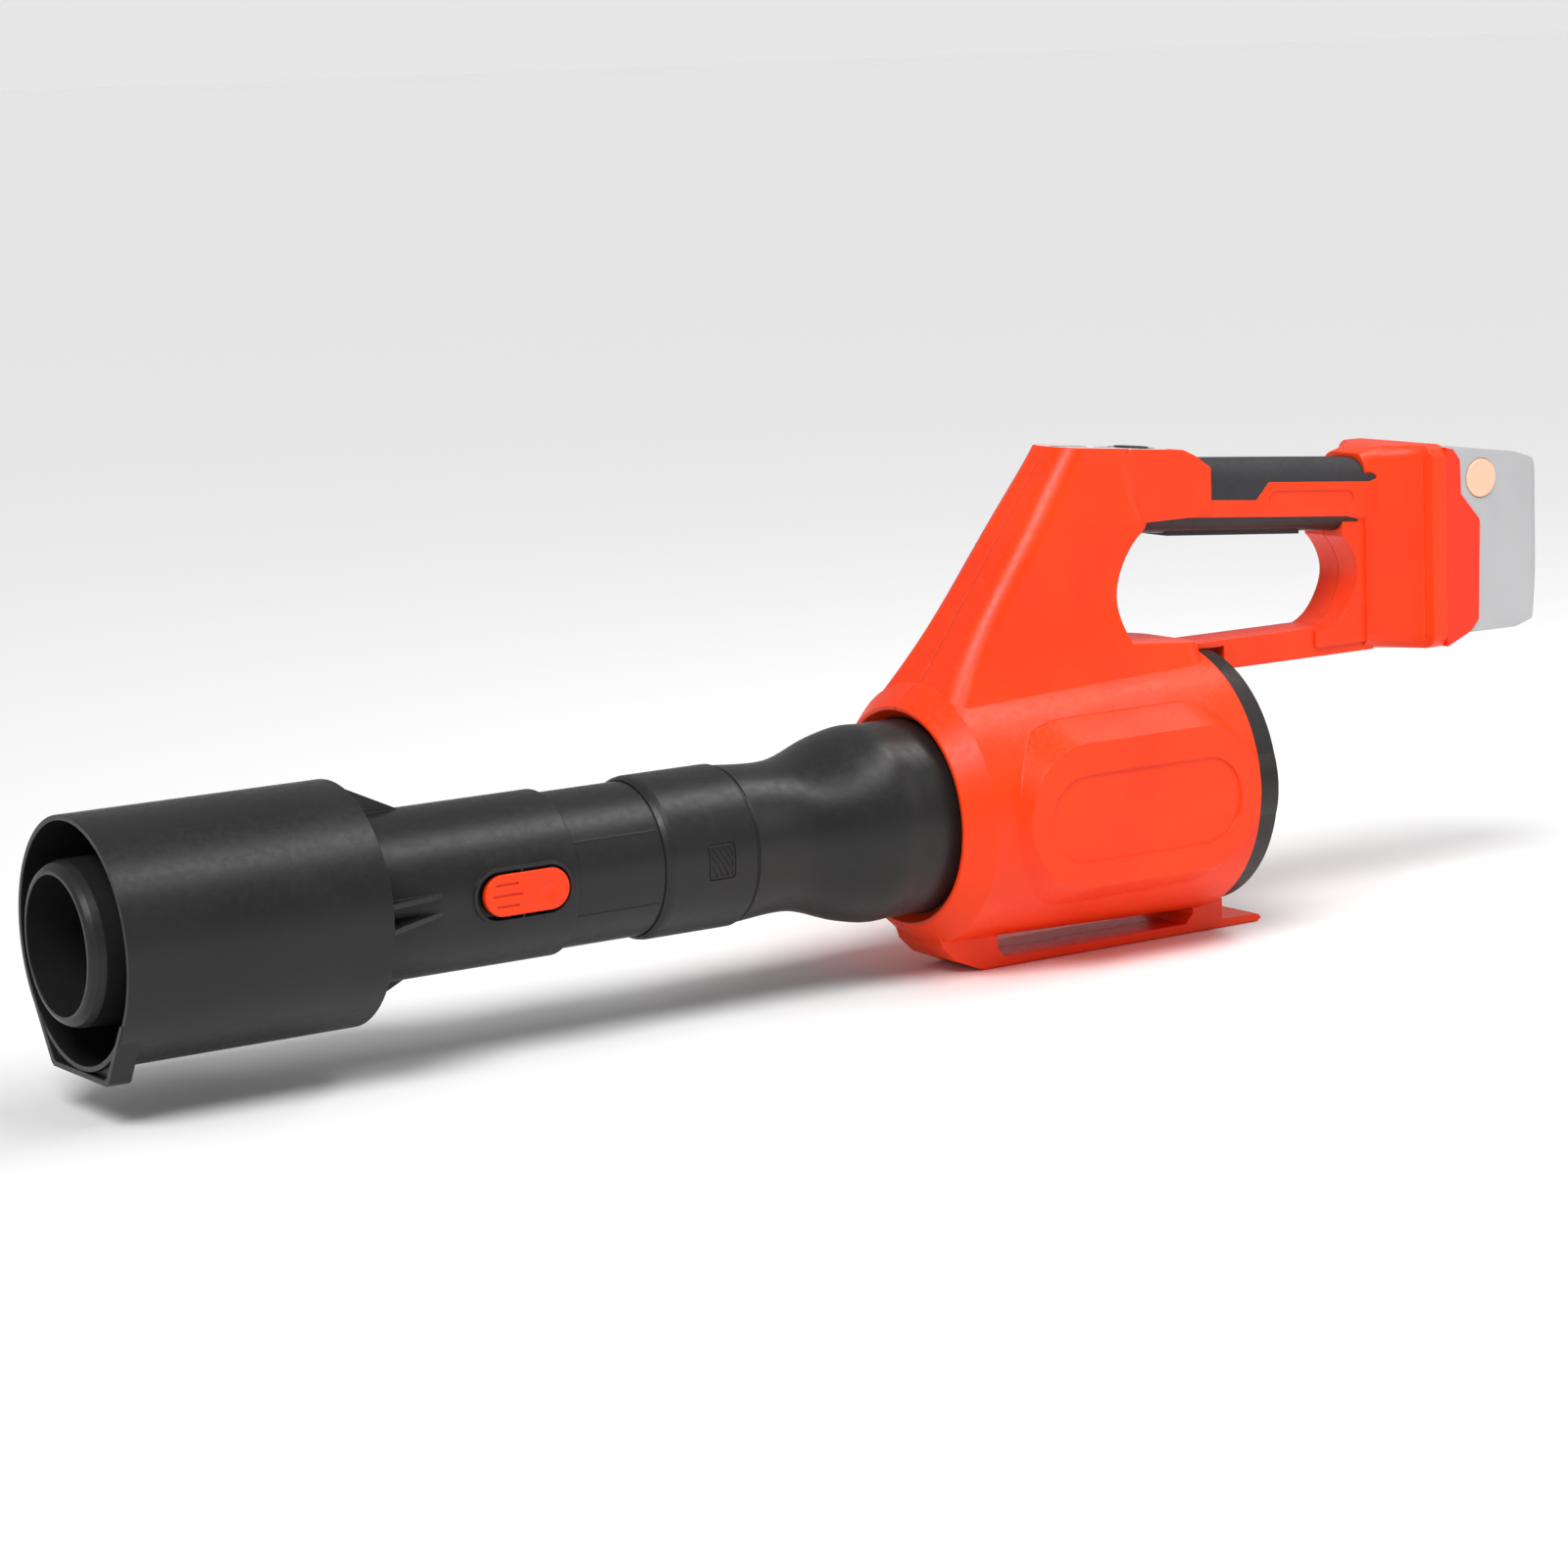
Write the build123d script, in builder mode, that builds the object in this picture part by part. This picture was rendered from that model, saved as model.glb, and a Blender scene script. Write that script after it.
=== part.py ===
"""Cordless leaf blower: nozzle, tubes, fan housing with a looped handle, and a battery pack.

The row frame has +X along the air tube from the nozzle to the battery, +Y to the right-hand
shell, +Z up, and z = 0 on the flat underside of the foot. Lengths are in millimetres.
Along the tool, places are given as stations: the distance behind the shroud's front rim.
Up the tool, places are given as heights above the axis of the air tube.
"""
from build123d import *
from math import cos, radians, sin, tan
import os

os.makedirs("parts", exist_ok=True)

# ---------------------------------------------------------------- frame
RIM_X = -429.0           # x of the shroud's front rim
AXIS_Z = 82.0            # height of the air tube's axis above the ground
GAP = 0.3                # clearance between pieces that move past each other
SEAM = 0.15              # half of the seam between the two housing shells
WALL = 3.0               # housing wall
TUBE_AXIS = Axis((0, 0, AXIS_Z), (1, 0, 0))

# ---------------------------------------------------------------- nozzle and tubes
PIPE_TIP = -8.0
PIPE_NOSE = [(PIPE_TIP, 34.0), (PIPE_TIP + 0.8, 35.8), (PIPE_TIP + 3, 37.4), (PIPE_TIP + 7, 38.6)]
PIPE_BORE = 32.5
SHROUD_R = 58.75
SHROUD_WALL = 2.5
SHROUD_END = 133.4
SLEEVE_R = 40.6
SLEEVE_BORE = 38.5
SLEEVE_STOP = 150.0
SLEEVE_END = 243.0
TUBE_R = 38.2
TUBE_BORE = 35.4
COLLAR_START = 293.0
COLLAR_END = 345.0
COLLAR_R = 40.6
BELL_R = 49.8
BELL_WALL = 2.4
BELL_END = 474.0
LIP_HALF = 30.0
LIP_DROP = -61.5
LIP_WALL = 2.6
LIP_LONG = 11.0
FIN = 2.4

# ---------------------------------------------------------------- latch on the nozzle
BUTTON_MID = 214.0
BUTTON_LONG = 46.0
BUTTON_HIGH = 20.0
BUTTON_TOP_Y = 42.2
BUTTON_LOW_Y = 38.7
LATCH_PIVOT = 212.0
LATCH_PIVOT_Y = 40.2
LATCH_PIN_R = 0.8
TUBE_FLAT_Y = 36.9

# ---------------------------------------------------------------- housing barrel
MOUTH = 457.0
MOUTH_R = 56.5
MOUTH_BORE = 50.3
CREASE = 469.5
CREASE_R = 67.0
BARREL_END = 636.0
BARREL_END_R = 71.5
PAD_Y = 73.0
PAD_BASE_Y = 52.0
PAD_MID = 561.0
PAD_MID_H = 1.0
PAD_LONG = 148.0
PAD_HIGH = 74.0
PAD_SLOPE = 27.0
RECESS_LONG = 122.0
RECESS_HIGH = 45.0
RECESS_DEEP = 1.3
FOOT_HALF = 19.0
FOOT_PLATE = 5.0
SLOT_START = 503.0
SLOT_END = 631.0

# ---------------------------------------------------------------- handle
GRIP_TILT = 4.4
GRIP_START = 598.0
GRIP_TOP = 171.2
GRIP_LONG = 176.0
GRIP_HIGH = 39.0
GRIP_WIDE = 35.0
GRIP_ROUND = 12.0
SKIN = 2.6               # thickness of the soft cover and of the lower trim
BAR_HALF = 14.0
BAR_TOP = 70.5
BAR_LOW = 55.0
FLANGE_START = 786.0
FLANGE_END = 796.0
FLANGE_HALF = 38.5
FLANGE_LOW = 54.5
FLANGE_TOP = 164.5

# ---------------------------------------------------------------- fan and motor
DUCT_R = 50.0
DUCT_BORE = 47.6
DUCT_START = 478.0
DUCT_END = 592.0
NACELLE_R = 24.0
NACELLE_BORE = 21.2
NACELLE_START = 498.0
NACELLE_END = 556.0
VANES = 7
FAN_START = 560.0
FAN_END = 584.0
FAN_R = 46.6
FAN_HUB_R = 22.5
BLADES = 9
SHAFT_R = 2.5

# ---------------------------------------------------------------- battery
BATTERY_HALF = 37.5
STEM_HALF = 23.5
STEM_LOW = 79.0
STEM_TOP = 140.0
STEM_START = 787.5
CELL_R = 9.0
CELL_LONG = 65.0
RELEASE_S = 821.5
RELEASE_H = 144.5
RELEASE_R = 10.4


def st(station):
    """The row x of a station."""
    return RIM_X + station


def ht(above_axis):
    """The row z of a height above the tube axis."""
    return AXIS_Z + above_axis


def side(points):
    """Row (x, z) pairs of an outline seen from the side, given as (station, height)."""
    return [(st(s), ht(h)) for s, h in points]


def turn(points, mode=Mode.ADD):
    """Turns a closed (station, radius) outline about the tube axis."""
    with BuildSketch(Plane.XZ) as outline:
        with BuildLine():
            Polyline(*side(points), close=True)
        make_face()
    revolve(outline.sketch, axis=TUBE_AXIS, mode=mode)


def slab(points, half, mode=Mode.ADD, rounds=()):
    """A side outline as thick as 2 * half, centred on y = 0. rounds holds (corner index, radius)."""
    with BuildSketch(Plane.XZ) as outline:
        with BuildLine():
            Polyline(*side(points), close=True)
        make_face()
        for index, radius in rounds:
            x, z = side(points)[index]
            corner = outline.vertices().sort_by_distance((x, z, 0))[0]
            fillet(corner, radius)
    extrude(outline.sketch, amount=half, both=True, mode=mode)


def cross_plane(station):
    """A plane across the tool at a station: local x is row y, local y is row z."""
    return Plane(origin=(st(station), 0, AXIS_Z), x_dir=(0, 1, 0), z_dir=(1, 0, 0))


def side_plane(y, station=0.0, above_axis=0.0, tilt=0.0):
    """A plane facing outwards at row y: local x runs rearward, so that a slot lies along the tool."""
    facing = 1 if y > 0 else -1
    run = Vector(cos(radians(tilt)), 0, -sin(radians(tilt)))
    return Plane(origin=(st(station), y, ht(above_axis)), x_dir=run, z_dir=(0, facing, 0))


def box_at(stations, widths, heights, mode=Mode.ADD):
    """A block given by its station range, row y range and height range."""
    middle = (
        st(sum(stations) / 2),
        sum(widths) / 2,
        ht(sum(heights) / 2),
    )
    size = (stations[1] - stations[0], widths[1] - widths[0], heights[1] - heights[0])
    with Locations(middle):
        Box(*size, mode=mode)


def rod(start, end, radius, mode=Mode.ADD):
    """A cylinder between two row points."""
    way = Vector(*end) - Vector(*start)
    with BuildSketch(Plane(origin=start, z_dir=way)) as disc:
        Circle(radius)
    extrude(disc.sketch, amount=way.length, mode=mode)


def finish(piece, name):
    """Labels a finished piece and writes it."""
    piece.part.label = name
    export_step(piece.part, f"parts/{name}.step")


# ---------------------------------------------------------------- nozzle
def lip_bend(inset):
    """Corners of the scraper lip's U, seen from the front, as (row y, height) pairs."""
    low = LIP_DROP + inset
    half = LIP_HALF - 0.8 * inset
    return [(48.9 - inset, -30.5), (half + 0.9, low + 1.6), (half - 1.8, low),
            (1.8 - half, low), (-half - 0.9, low + 1.6), (inset - 48.9, -30.5)]


with BuildPart() as nozzle:
    # inner pipe and sleeve, one wall that widens rearward
    turn([
        (PIPE_TIP, PIPE_BORE), *PIPE_NOSE, (90, 39.8), (SHROUD_END - 14, SLEEVE_R),
        (SLEEVE_END, SLEEVE_R), (SLEEVE_END, SLEEVE_BORE), (SLEEVE_STOP, SLEEVE_BORE),
        (SLEEVE_STOP, TUBE_BORE), (14, PIPE_BORE),
    ])
    # window for the release button
    with BuildSketch(side_plane(-60, BUTTON_MID - 1.5)) as window:
        SlotOverall(BUTTON_LONG + 5, BUTTON_HIGH + 3.2)
    extrude(amount=-30, mode=Mode.SUBTRACT)
    # raised rim round the window
    with BuildSketch(side_plane(-41.4, BUTTON_MID - 1.5)) as rim:
        SlotOverall(BUTTON_LONG + 8.6, BUTTON_HIGH + 6.8)
        SlotOverall(BUTTON_LONG + 5, BUTTON_HIGH + 3.2, mode=Mode.SUBTRACT)
    extrude(amount=-2.6)
    # bores for the latch pin
    rod((st(LATCH_PIVOT), -LATCH_PIVOT_Y, ht(-12.9)), (st(LATCH_PIVOT), -LATCH_PIVOT_Y, ht(12.9)),
        LATCH_PIN_R, Mode.SUBTRACT)
    # gussets: one above, one below, and a pair on each side
    gusset = [
        (62, 38.2), (78, SHROUD_R - 1), (SHROUD_END - 1, SHROUD_R - 1),
        (170, SLEEVE_R - 0.5), (170, 39.2), (SHROUD_END - 14, 39.2), (90, 38.4),
    ]
    for angle in (0, 84, 96, 180, 264, 276):
        with BuildSketch(Plane(origin=(0, 0, AXIS_Z), x_dir=(1, 0, 0),
                               z_dir=(0, -cos(radians(angle)), sin(radians(angle))))):
            with BuildLine():
                Polyline(*[(st(s), r) for s, r in gusset], close=True)
            make_face()
        extrude(amount=FIN / 2, both=True)
    # outer shroud
    turn([
        (0, SHROUD_R - SHROUD_WALL), (0, SHROUD_R), (SHROUD_END, SHROUD_R),
        (SHROUD_END, SHROUD_R - SHROUD_WALL),
    ])
    # scraper lip: a U-shaped band under the rim, with a thin web set back inside it
    with BuildSketch(cross_plane(-0.4)):
        with BuildLine():
            Polyline(*lip_bend(0), *reversed(lip_bend(LIP_WALL)), close=True)
        make_face()
    extrude(amount=LIP_LONG)
    with BuildSketch(cross_plane(3)):
        with BuildLine():
            Polyline(*lip_bend(1), close=True)
        make_face()
        Circle(SHROUD_R - 1.2, mode=Mode.SUBTRACT)
    extrude(amount=1.6)
finish(nozzle, "nozzle")

with BuildPart() as latch_button:
    with BuildSketch(side_plane(-BUTTON_LOW_Y, BUTTON_MID)):
        SlotOverall(BUTTON_LONG, BUTTON_HIGH)
    extrude(amount=BUTTON_TOP_Y - BUTTON_LOW_Y)
    fillet(latch_button.faces().sort_by(Axis.Y)[0].edges(), 0.9)
    # three grip grooves on the front half
    with BuildSketch(side_plane(-BUTTON_TOP_Y, BUTTON_MID - 11)):
        with Locations((0, -5.2), (0, 5.2)):
            Rectangle(12, 1.1)
        Rectangle(16, 1.1)
    extrude(amount=-0.7, mode=Mode.SUBTRACT)
    # shallow dish on the rear half
    with Locations((st(BUTTON_MID + 12), -BUTTON_TOP_Y - 15.4, AXIS_Z)):
        Sphere(16.2, mode=Mode.SUBTRACT)
    # shallow catch below the rear end, over the flat of the tube
    box_at((BUTTON_MID + 14, BUTTON_MID + 18), (-BUTTON_LOW_Y - 0.5, -TUBE_R - 0.15), (-6, 6))
    rod((st(LATCH_PIVOT), -LATCH_PIVOT_Y, ht(-12)), (st(LATCH_PIVOT), -LATCH_PIVOT_Y, ht(12)),
        LATCH_PIN_R + 0.05, Mode.SUBTRACT)
finish(latch_button, "latch_button")

with BuildPart() as latch_pin:
    rod((st(LATCH_PIVOT), -LATCH_PIVOT_Y, ht(-12.8)), (st(LATCH_PIVOT), -LATCH_PIVOT_Y, ht(12.8)),
        LATCH_PIN_R)
finish(latch_pin, "latch_pin")

with BuildPart() as front_tube:
    turn([
        (SLEEVE_STOP + GAP, TUBE_BORE), (SLEEVE_STOP + GAP, TUBE_R - 1), (SLEEVE_STOP + 3, TUBE_R),
        (COLLAR_END - 4, TUBE_R), (COLLAR_END - 2, TUBE_R - 1.5), (COLLAR_END - 2, TUBE_BORE),
    ])
    # flat that the nozzle's latch slides along
    box_at((SLEEVE_STOP - 1, SLEEVE_END - 6), (-45, -TUBE_FLAT_Y), (-10.5, 10.5), Mode.SUBTRACT)
    # two fine mould lines bound the side band between the sleeve and the collar
    for angle in (29, -27):
        with BuildSketch(cross_plane(SLEEVE_END + 1)):
            with Locations((-TUBE_R * cos(radians(angle)), TUBE_R * sin(radians(angle)))):
                Rectangle(0.8, 0.8)
        extrude(amount=COLLAR_START - SLEEVE_END - 3)
finish(front_tube, "front_tube")

bell_outside = [
    (COLLAR_START, TUBE_R + 0.6), (COLLAR_START + 2.5, COLLAR_R - 0.4), (COLLAR_START + 5, COLLAR_R),
    (COLLAR_END - 0.8, COLLAR_R), (COLLAR_END, COLLAR_R - 0.8), (COLLAR_END + 0.6, 39.0),
    (COLLAR_END + 1.6, 39.0), (COLLAR_END + 1.8, 39.6), (COLLAR_END + 3, 39.5), (362, 38.3),
    (374, 37.8), (382, 38.2), (390, 39.8), (397, 42.0), (404, 44.6), (411, 46.9), (418, 48.6),
    (425, 49.9), (431, 50.2), (436, 49.9), (442, BELL_R), (BELL_END, BELL_R),
]

with BuildPart() as rear_tube:
    with BuildSketch(Plane.XZ):
        with BuildLine():
            corners = side(bell_outside[:9])
            Polyline(*corners)
            swell = Spline(*side(bell_outside[8:21]))
            Polyline(swell @ 1, *side([
                (BELL_END, BELL_R), (BELL_END, BELL_R - BELL_WALL), (436, 47.2)]))
            inner = Spline(*side([(436, 47.2), (418, 45.9), (404, 42.0), (390, 37.2), (378, 35.4),
                                  (362, 35.4)]))
            Polyline(inner @ 1, *side([
                (COLLAR_END, TUBE_BORE), (COLLAR_END, TUBE_R + 0.25),
                (COLLAR_START, TUBE_R + 0.25), (COLLAR_START, TUBE_R + 0.6)]))
        make_face()
    revolve(axis=TUBE_AXIS)
    # hatched alignment mark, engraved to an even depth
    with BuildPart(mode=Mode.PRIVATE) as engraving:
        with BuildSketch(side_plane(-44, 324, 0)):
            RectangleRounded(15.5, 18, 2)
            RectangleRounded(13.9, 16.4, 1.4, mode=Mode.SUBTRACT)
        extrude(amount=-8)
        with BuildSketch(side_plane(-44, 324, 0)):
            with GridLocations(3.1, 0, 8, 1):
                with Locations(Rotation(0, 0, 32)):
                    Rectangle(1.7, 26)
            RectangleRounded(12.2, 14.7, 1.0, mode=Mode.INTERSECT)
        extrude(amount=-8)
        turn([(300, 20), (300, COLLAR_R - 0.6), (344, COLLAR_R - 0.6), (344, 20)], Mode.SUBTRACT)
    add(engraving.part, mode=Mode.SUBTRACT)
finish(rear_tube, "rear_tube")

with BuildPart() as tube_seal:
    turn([(463, BELL_R + 0.05), (463, 52.6), (467, 52.6), (467, BELL_R + 0.05)])
finish(tube_seal, "tube_seal")


# ---------------------------------------------------------------- housing
def pads(grow, low_y, top_y, mode=Mode.ADD):
    """The oval pads on both sides of the barrel, with sloping shoulders."""
    for facing in (-1, 1):
        spread = 2 * (PAD_Y - low_y) * tan(radians(PAD_SLOPE)) + 2 * grow
        with BuildSketch(side_plane(facing * low_y, PAD_MID, PAD_MID_H)) as oval:
            SlotOverall(PAD_LONG + spread, PAD_HIGH + spread)
        extrude(oval.sketch, amount=top_y - low_y, taper=PAD_SLOPE, mode=mode)


def tower_form(inset):
    """The tower's plan-form: round-cornered sections that narrow upwards."""
    sections = [(47, 458, 638, 39.5), (60, 467, 637, 34.5), (78, 480, 634, 28.5),
                (110, 504, 622, 24), (150, 533.5, 606, 21.3), (184, 559, 602, 20)]
    for above_axis, front, rear, half in sections:
        middle = st((front + rear) / 2)
        with BuildSketch(Plane(origin=(middle, 0, ht(above_axis)), x_dir=(1, 0, 0))) as section:
            RectangleRounded(rear - front - 2 * inset, 2 * (half - inset), 13 - inset)
        yield section.sketch


def grip_plane(station, below_top):
    """A plane across the grip, whose local x is row y and whose normal runs rearward down the grip."""
    run = Vector(cos(radians(GRIP_TILT)), 0, -sin(radians(GRIP_TILT)))
    along = (station - GRIP_START) * tan(radians(GRIP_TILT))
    return Plane(origin=(st(station), 0, ht(GRIP_TOP - along - below_top)), x_dir=(0, 1, 0), z_dir=run)


def grip_run(below_top, wide, high, rounding, start=GRIP_START, long=GRIP_LONG, mode=Mode.ADD):
    """A round-cornered bar along the grip, its centre a given depth below the grip's top line."""
    with BuildSketch(grip_plane(start, below_top)) as section:
        RectangleRounded(wide, high, rounding)
    extrude(section.sketch, amount=long, mode=mode)


COVER_OUTLINE = [(634.5, 180), (636.5, 163), (640.5, 152), (645, 146.3), (681, 143.2), (690, 152),
                 (760, 146.6), (766, 148.2), (768, 153), (766, 180)]
TRIM_OUTLINE = [(600, 132), (605, 137.5), (614, 139.5), (744, 129), (752, 127), (755, 122.5),
                (752, 117), (745, 112), (620, 120), (598, 125)]
TRIGGER_START = 627.0
TRIGGER_END = 717.0
TRIGGER_PIVOT = 711.0
TRIGGER_PIVOT_H = 129.5
PIN_R = 1.5
PIN_ENDS = [(st(TRIGGER_PIVOT), -11.5, ht(TRIGGER_PIVOT_H)), (st(TRIGGER_PIVOT), 11.5, ht(TRIGGER_PIVOT_H))]

with BuildPart() as grip_shell:
    grip_run(GRIP_HIGH / 2, GRIP_WIDE, GRIP_HIGH, GRIP_ROUND)
    grip_run(GRIP_HIGH / 2, GRIP_WIDE - 2 * SKIN, GRIP_HIGH - 2 * SKIN, GRIP_ROUND - SKIN,
             GRIP_START - 2, GRIP_LONG + 8, Mode.SUBTRACT)

with BuildPart() as grip_cover:
    add(grip_shell.part)
    slab(COVER_OUTLINE, 30, Mode.INTERSECT)
finish(grip_cover, "grip_cover")

with BuildPart() as grip_trim:
    add(grip_shell.part)
    slab(TRIM_OUTLINE, 30, Mode.INTERSECT)
    box_at((TRIGGER_START - 1, TRIGGER_END + 1), (-9.5, 9.5), (100, 140), Mode.SUBTRACT)
    rod(*PIN_ENDS, PIN_R, Mode.SUBTRACT)
finish(grip_trim, "grip_trim")

# station, height, and how far the post reaches to each side
SCREW_PLACES = [(566, 160, 18.6), (505, 84, 25), (612, 65, 12), (742, 143, 13), (690, 62.7, 12),
                (768, 72, 15.5), (487, -73.5, 12), (641, -74, 12)]
POST_R = 5.6
HEAD_R = 3.4
HEAD_SEAT = 8.0
SHANK_R = 1.5

with BuildPart() as tower:
    loft(list(tower_form(0)))
    slab([(440, 46), (457.3, 46.2), (546, 166.5), (549.5, 174), (556, 180.8), (634, 173.6),
          (642, 169.5), (648, 160), (648, 46)], 45, Mode.INTERSECT)
    # front of the finger loop
    with BuildSketch(Plane.XZ):
        with BuildLine():
            bow = Spline(*side([(588.2, 77.4), (584.3, 85.9), (581.2, 101.5), (585.3, 116.4),
                                (598.6, 132.9), (614, 139.5)]))
            Polyline(bow @ 1, *side([(690, 139), (690, 70.5), (640, 73.2)]), bow @ 0)
        make_face()
    extrude(amount=50, both=True, mode=Mode.SUBTRACT)

with BuildPart() as housing:
    # foot bracket with its long slot
    slab([(462, -50), (468, -67), (476, -75), (493, -AXIS_Z), (651, -AXIS_Z), (651, -50)], FOOT_HALF)
    slab([(SLOT_START, -72), (SLOT_START + 4, FOOT_PLATE - AXIS_Z), (SLOT_END - 5, FOOT_PLATE - AXIS_Z),
          (SLOT_END, -72), (SLOT_END, -40), (SLOT_START, -40)], 30, Mode.SUBTRACT)
    slab([(648, -AXIS_Z), (675, -AXIS_Z), (677.5, -AXIS_Z + 1.5), (676, -AXIS_Z + 3.6),
          (648, -AXIS_Z + 4.4)], FOOT_HALF)
    # barrel
    turn([(MOUTH, 0), (MOUTH, MOUTH_R), (CREASE, CREASE_R), (BARREL_END, BARREL_END_R),
          (BARREL_END, 0)])
    pads(0, PAD_BASE_Y, PAD_Y)
    # tower, neck, grip, block and lower bar
    add(tower.part)
    slab([(592, 138), (592, 172), (600, 176.6), (632, 173.7), (640, 170), (650, 163), (650, 138)], 18.6)
    grip_run(GRIP_HIGH / 2, GRIP_WIDE, GRIP_HIGH, GRIP_ROUND)
    box_at((632, 764), (-BAR_HALF, BAR_HALF), (BAR_LOW, BAR_TOP))
    # rear column with the curved back of the loop
    with BuildSketch(Plane.XZ):
        with BuildLine():
            curve = Spline(*side([(722, 69), (738, 73.5), (749, 87), (752, 97), (749.5, 108),
                                  (742, 118)]))
            Polyline(curve @ 1, *side([(742, 130), (770, 130), (770, 60), (722, 60)]), curve @ 0)
        make_face()
    extrude(amount=15.5, both=True)
    # flare from the column to the battery flange
    with BuildPart(mode=Mode.PRIVATE) as flare:
        for station, half, low, top in ((757, 17, 55.5, 161.5), (768, 18.5, 55, 164),
                                        (777, 25, 54.6, 164.5), (FLANGE_START, FLANGE_HALF, 54.5, 164.5)):
            with BuildSketch(cross_plane(station)):
                with Locations((0, (low + top) / 2)):
                    RectangleRounded(2 * half, top - low, 8)
        loft()
        with BuildSketch(cross_plane(FLANGE_START)):
            with Locations((0, (FLANGE_LOW + FLANGE_TOP) / 2)):
                RectangleRounded(2 * FLANGE_HALF, FLANGE_TOP - FLANGE_LOW, 8)
        extrude(amount=FLANGE_END - FLANGE_START)
    add(flare.part)

    # barrel cavity, open at the mouth and at the rear
    turn([(MOUTH - 5, 0), (MOUTH - 5, MOUTH_R - 1), (MOUTH, MOUTH_R - 1.8), (463, MOUTH_BORE),
          (463, 52.7), (467.2, 52.7), (467.2, MOUTH_BORE), (469, MOUTH_BORE), (474, 63),
          (BARREL_END + 15, 67.2), (BARREL_END + 15, 0)], Mode.SUBTRACT)
    # tower cavity
    with BuildPart(mode=Mode.PRIVATE) as tower_room:
        loft(list(tower_form(3.4)))
        slab([(478, 57), (489, 80), (549, 163), (557, 175), (590, 173), (590, 126), (580, 119),
              (576.5, 102), (579, 86), (584, 73), (630, 69), (630, 57)], 45, Mode.INTERSECT)
    add(tower_room.part, mode=Mode.SUBTRACT)
    # grip cavity, running from the tower to the battery flange
    grip_run(18.6, 24, 26, 6, 580, 190, Mode.SUBTRACT)
    box_at((762, 784), (-13.5, 13.5), (60, 158), Mode.SUBTRACT)
    box_at((783.9, FLANGE_END + 1), (-34, 34), (60, 158), Mode.SUBTRACT)
    # slot in the grip's underside for the trigger
    box_at((TRIGGER_START - 1, TRIGGER_END + 1), (-9.5, 9.5), (118, 140), Mode.SUBTRACT)
    # recessed ovals on the pads, and the long recess on each side of the grip
    for facing in (-1, 1):
        with BuildSketch(side_plane(facing * PAD_Y, PAD_MID, -0.6)):
            SlotOverall(RECESS_LONG, RECESS_HIGH)
        extrude(amount=-RECESS_DEEP, mode=Mode.SUBTRACT)
        with BuildSketch(side_plane(facing * GRIP_WIDE / 2, 719.5, 140.1, GRIP_TILT)):
            SlotOverall(59, 10)
        extrude(amount=-0.8, mode=Mode.SUBTRACT)
    # seat for the control panel
    with BuildSketch(Plane(origin=(st(593), 0, ht(177.4)), x_dir=(1, 0, -0.0921),
                           z_dir=(0.0921, 0, 1))):
        RectangleRounded(72.4, 30.4, 9)
    extrude(amount=-1.6, mode=Mode.SUBTRACT)
    # screw posts across the cavities, and their bores
    for station, above_axis, reach in SCREW_PLACES[:-2]:
        rod((st(station), -reach, ht(above_axis)), (st(station), reach, ht(above_axis)), POST_R)
    for station, above_axis, reach in SCREW_PLACES:
        rod((st(station), -9, ht(above_axis)), (st(station), 9, ht(above_axis)), SHANK_R + 0.05,
            Mode.SUBTRACT)
        rod((st(station), HEAD_SEAT, ht(above_axis)), (st(station), 60, ht(above_axis)), HEAD_R + 0.3,
            Mode.SUBTRACT)
    add(grip_cover.part, mode=Mode.SUBTRACT)
    add(grip_trim.part, mode=Mode.SUBTRACT)
    rod(*PIN_ENDS, PIN_R, Mode.SUBTRACT)
    # room for the intake grille behind the barrel
    turn([(BARREL_END - 0.6, 40), (BARREL_END - 0.6, 68.8), (660, 68.8), (660, 40)], Mode.SUBTRACT)

with BuildPart() as housing_left:
    add(housing.part)
    split(bisect_by=Plane.XZ.offset(SEAM), keep=Keep.TOP)
finish(housing_left, "housing_left")

with BuildPart() as housing_right:
    add(housing.part)
    split(bisect_by=Plane.XZ.offset(-SEAM), keep=Keep.BOTTOM)
finish(housing_right, "housing_right")

# ---------------------------------------------------------------- rear of the barrel and air path
with BuildPart() as intake_grille:
    with BuildSketch(cross_plane(628)):
        Circle(68.4)
        with Locations((0, PAD_MID_H)):
            SlotOverall(2 * 71.5, 56)
    extrude(amount=24)
    # the rear edge is bevelled all round
    turn([(645, 76), (653, 76), (653, 62.5)], Mode.SUBTRACT)
    turn([(600, 66.5), (600, 90), (BARREL_END + GAP, 90), (BARREL_END + GAP, 66.5)], Mode.SUBTRACT)
    pads(2 * GAP, PAD_BASE_Y, PAD_Y + 1, Mode.SUBTRACT)
    turn([(600, 0), (600, 63.5), (644, 60), (648, 56), (660, 56), (660, 0)], Mode.SUBTRACT)
    # louvres: rings tied together by spokes
    for ring_r in (53, 46, 39, 32, 25, 18):
        turn([(645.5, ring_r - 1.1), (645.5, ring_r + 1.1), (650.5, ring_r + 1.1),
              (650.5, ring_r - 1.1)])
    turn([(645.5, 0), (645.5, 11.5), (650.5, 11.5), (650.5, 0)])
    with BuildSketch(cross_plane(646)):
        with PolarLocations(34, 12):
            Rectangle(50, 2)
    extrude(amount=3.4)
finish(intake_grille, "intake_grille")


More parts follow.
